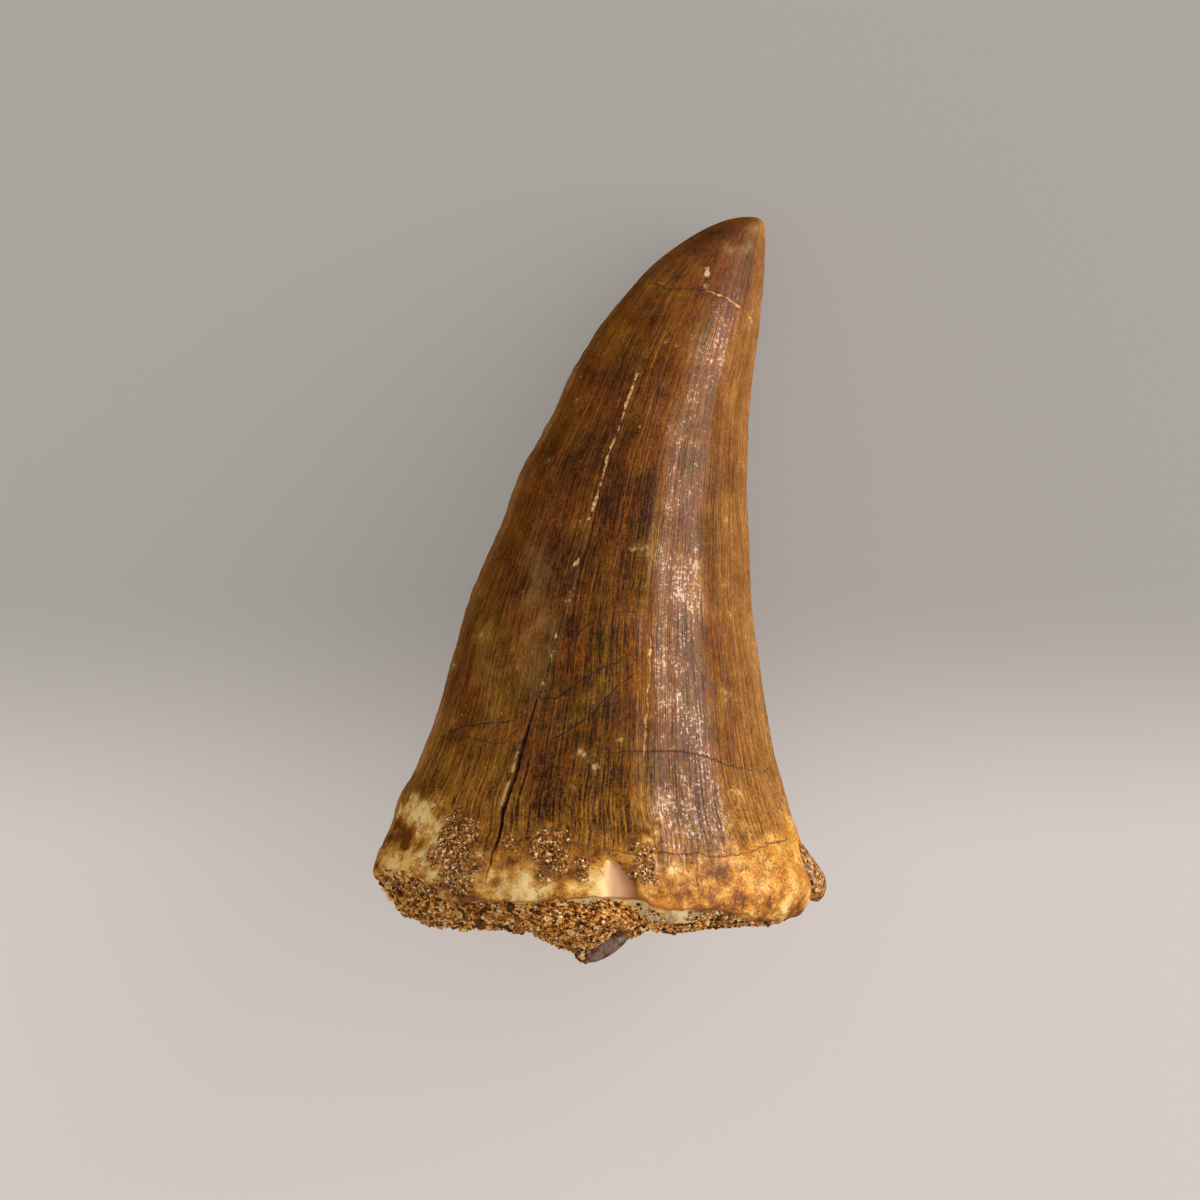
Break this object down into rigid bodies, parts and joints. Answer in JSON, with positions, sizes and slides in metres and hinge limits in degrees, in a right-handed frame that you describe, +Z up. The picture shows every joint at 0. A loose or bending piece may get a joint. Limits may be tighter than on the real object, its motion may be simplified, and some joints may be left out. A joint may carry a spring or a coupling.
{
  "type": "fossil prognathodon mosasaur tooth",
  "caption": "Recurved fossil tooth crown of brown enamel with cracks and a filled base of sandy matrix, lying on its back.",
  "frame": {"origin": "on the surface the tooth lies on, under the middle of its outline", "axes": "+Y from the broken base to the tip, +Z up out of the surface through the outer face, +X to the side the tip leans to"},
  "size_m": [0.0366, 0.06, 0.025],
  "materials": {
    "enamel": "satin",
    "sandy_matrix": "matte",
    "fossil_bone": "satin"
  },
  "bodies": {
    "root": {"crown": "enamel", "matrix": "sandy_matrix", "nub_fragment": "fossil_bone", "side_fragment": "fossil_bone"}
  },
  "joints": []
}
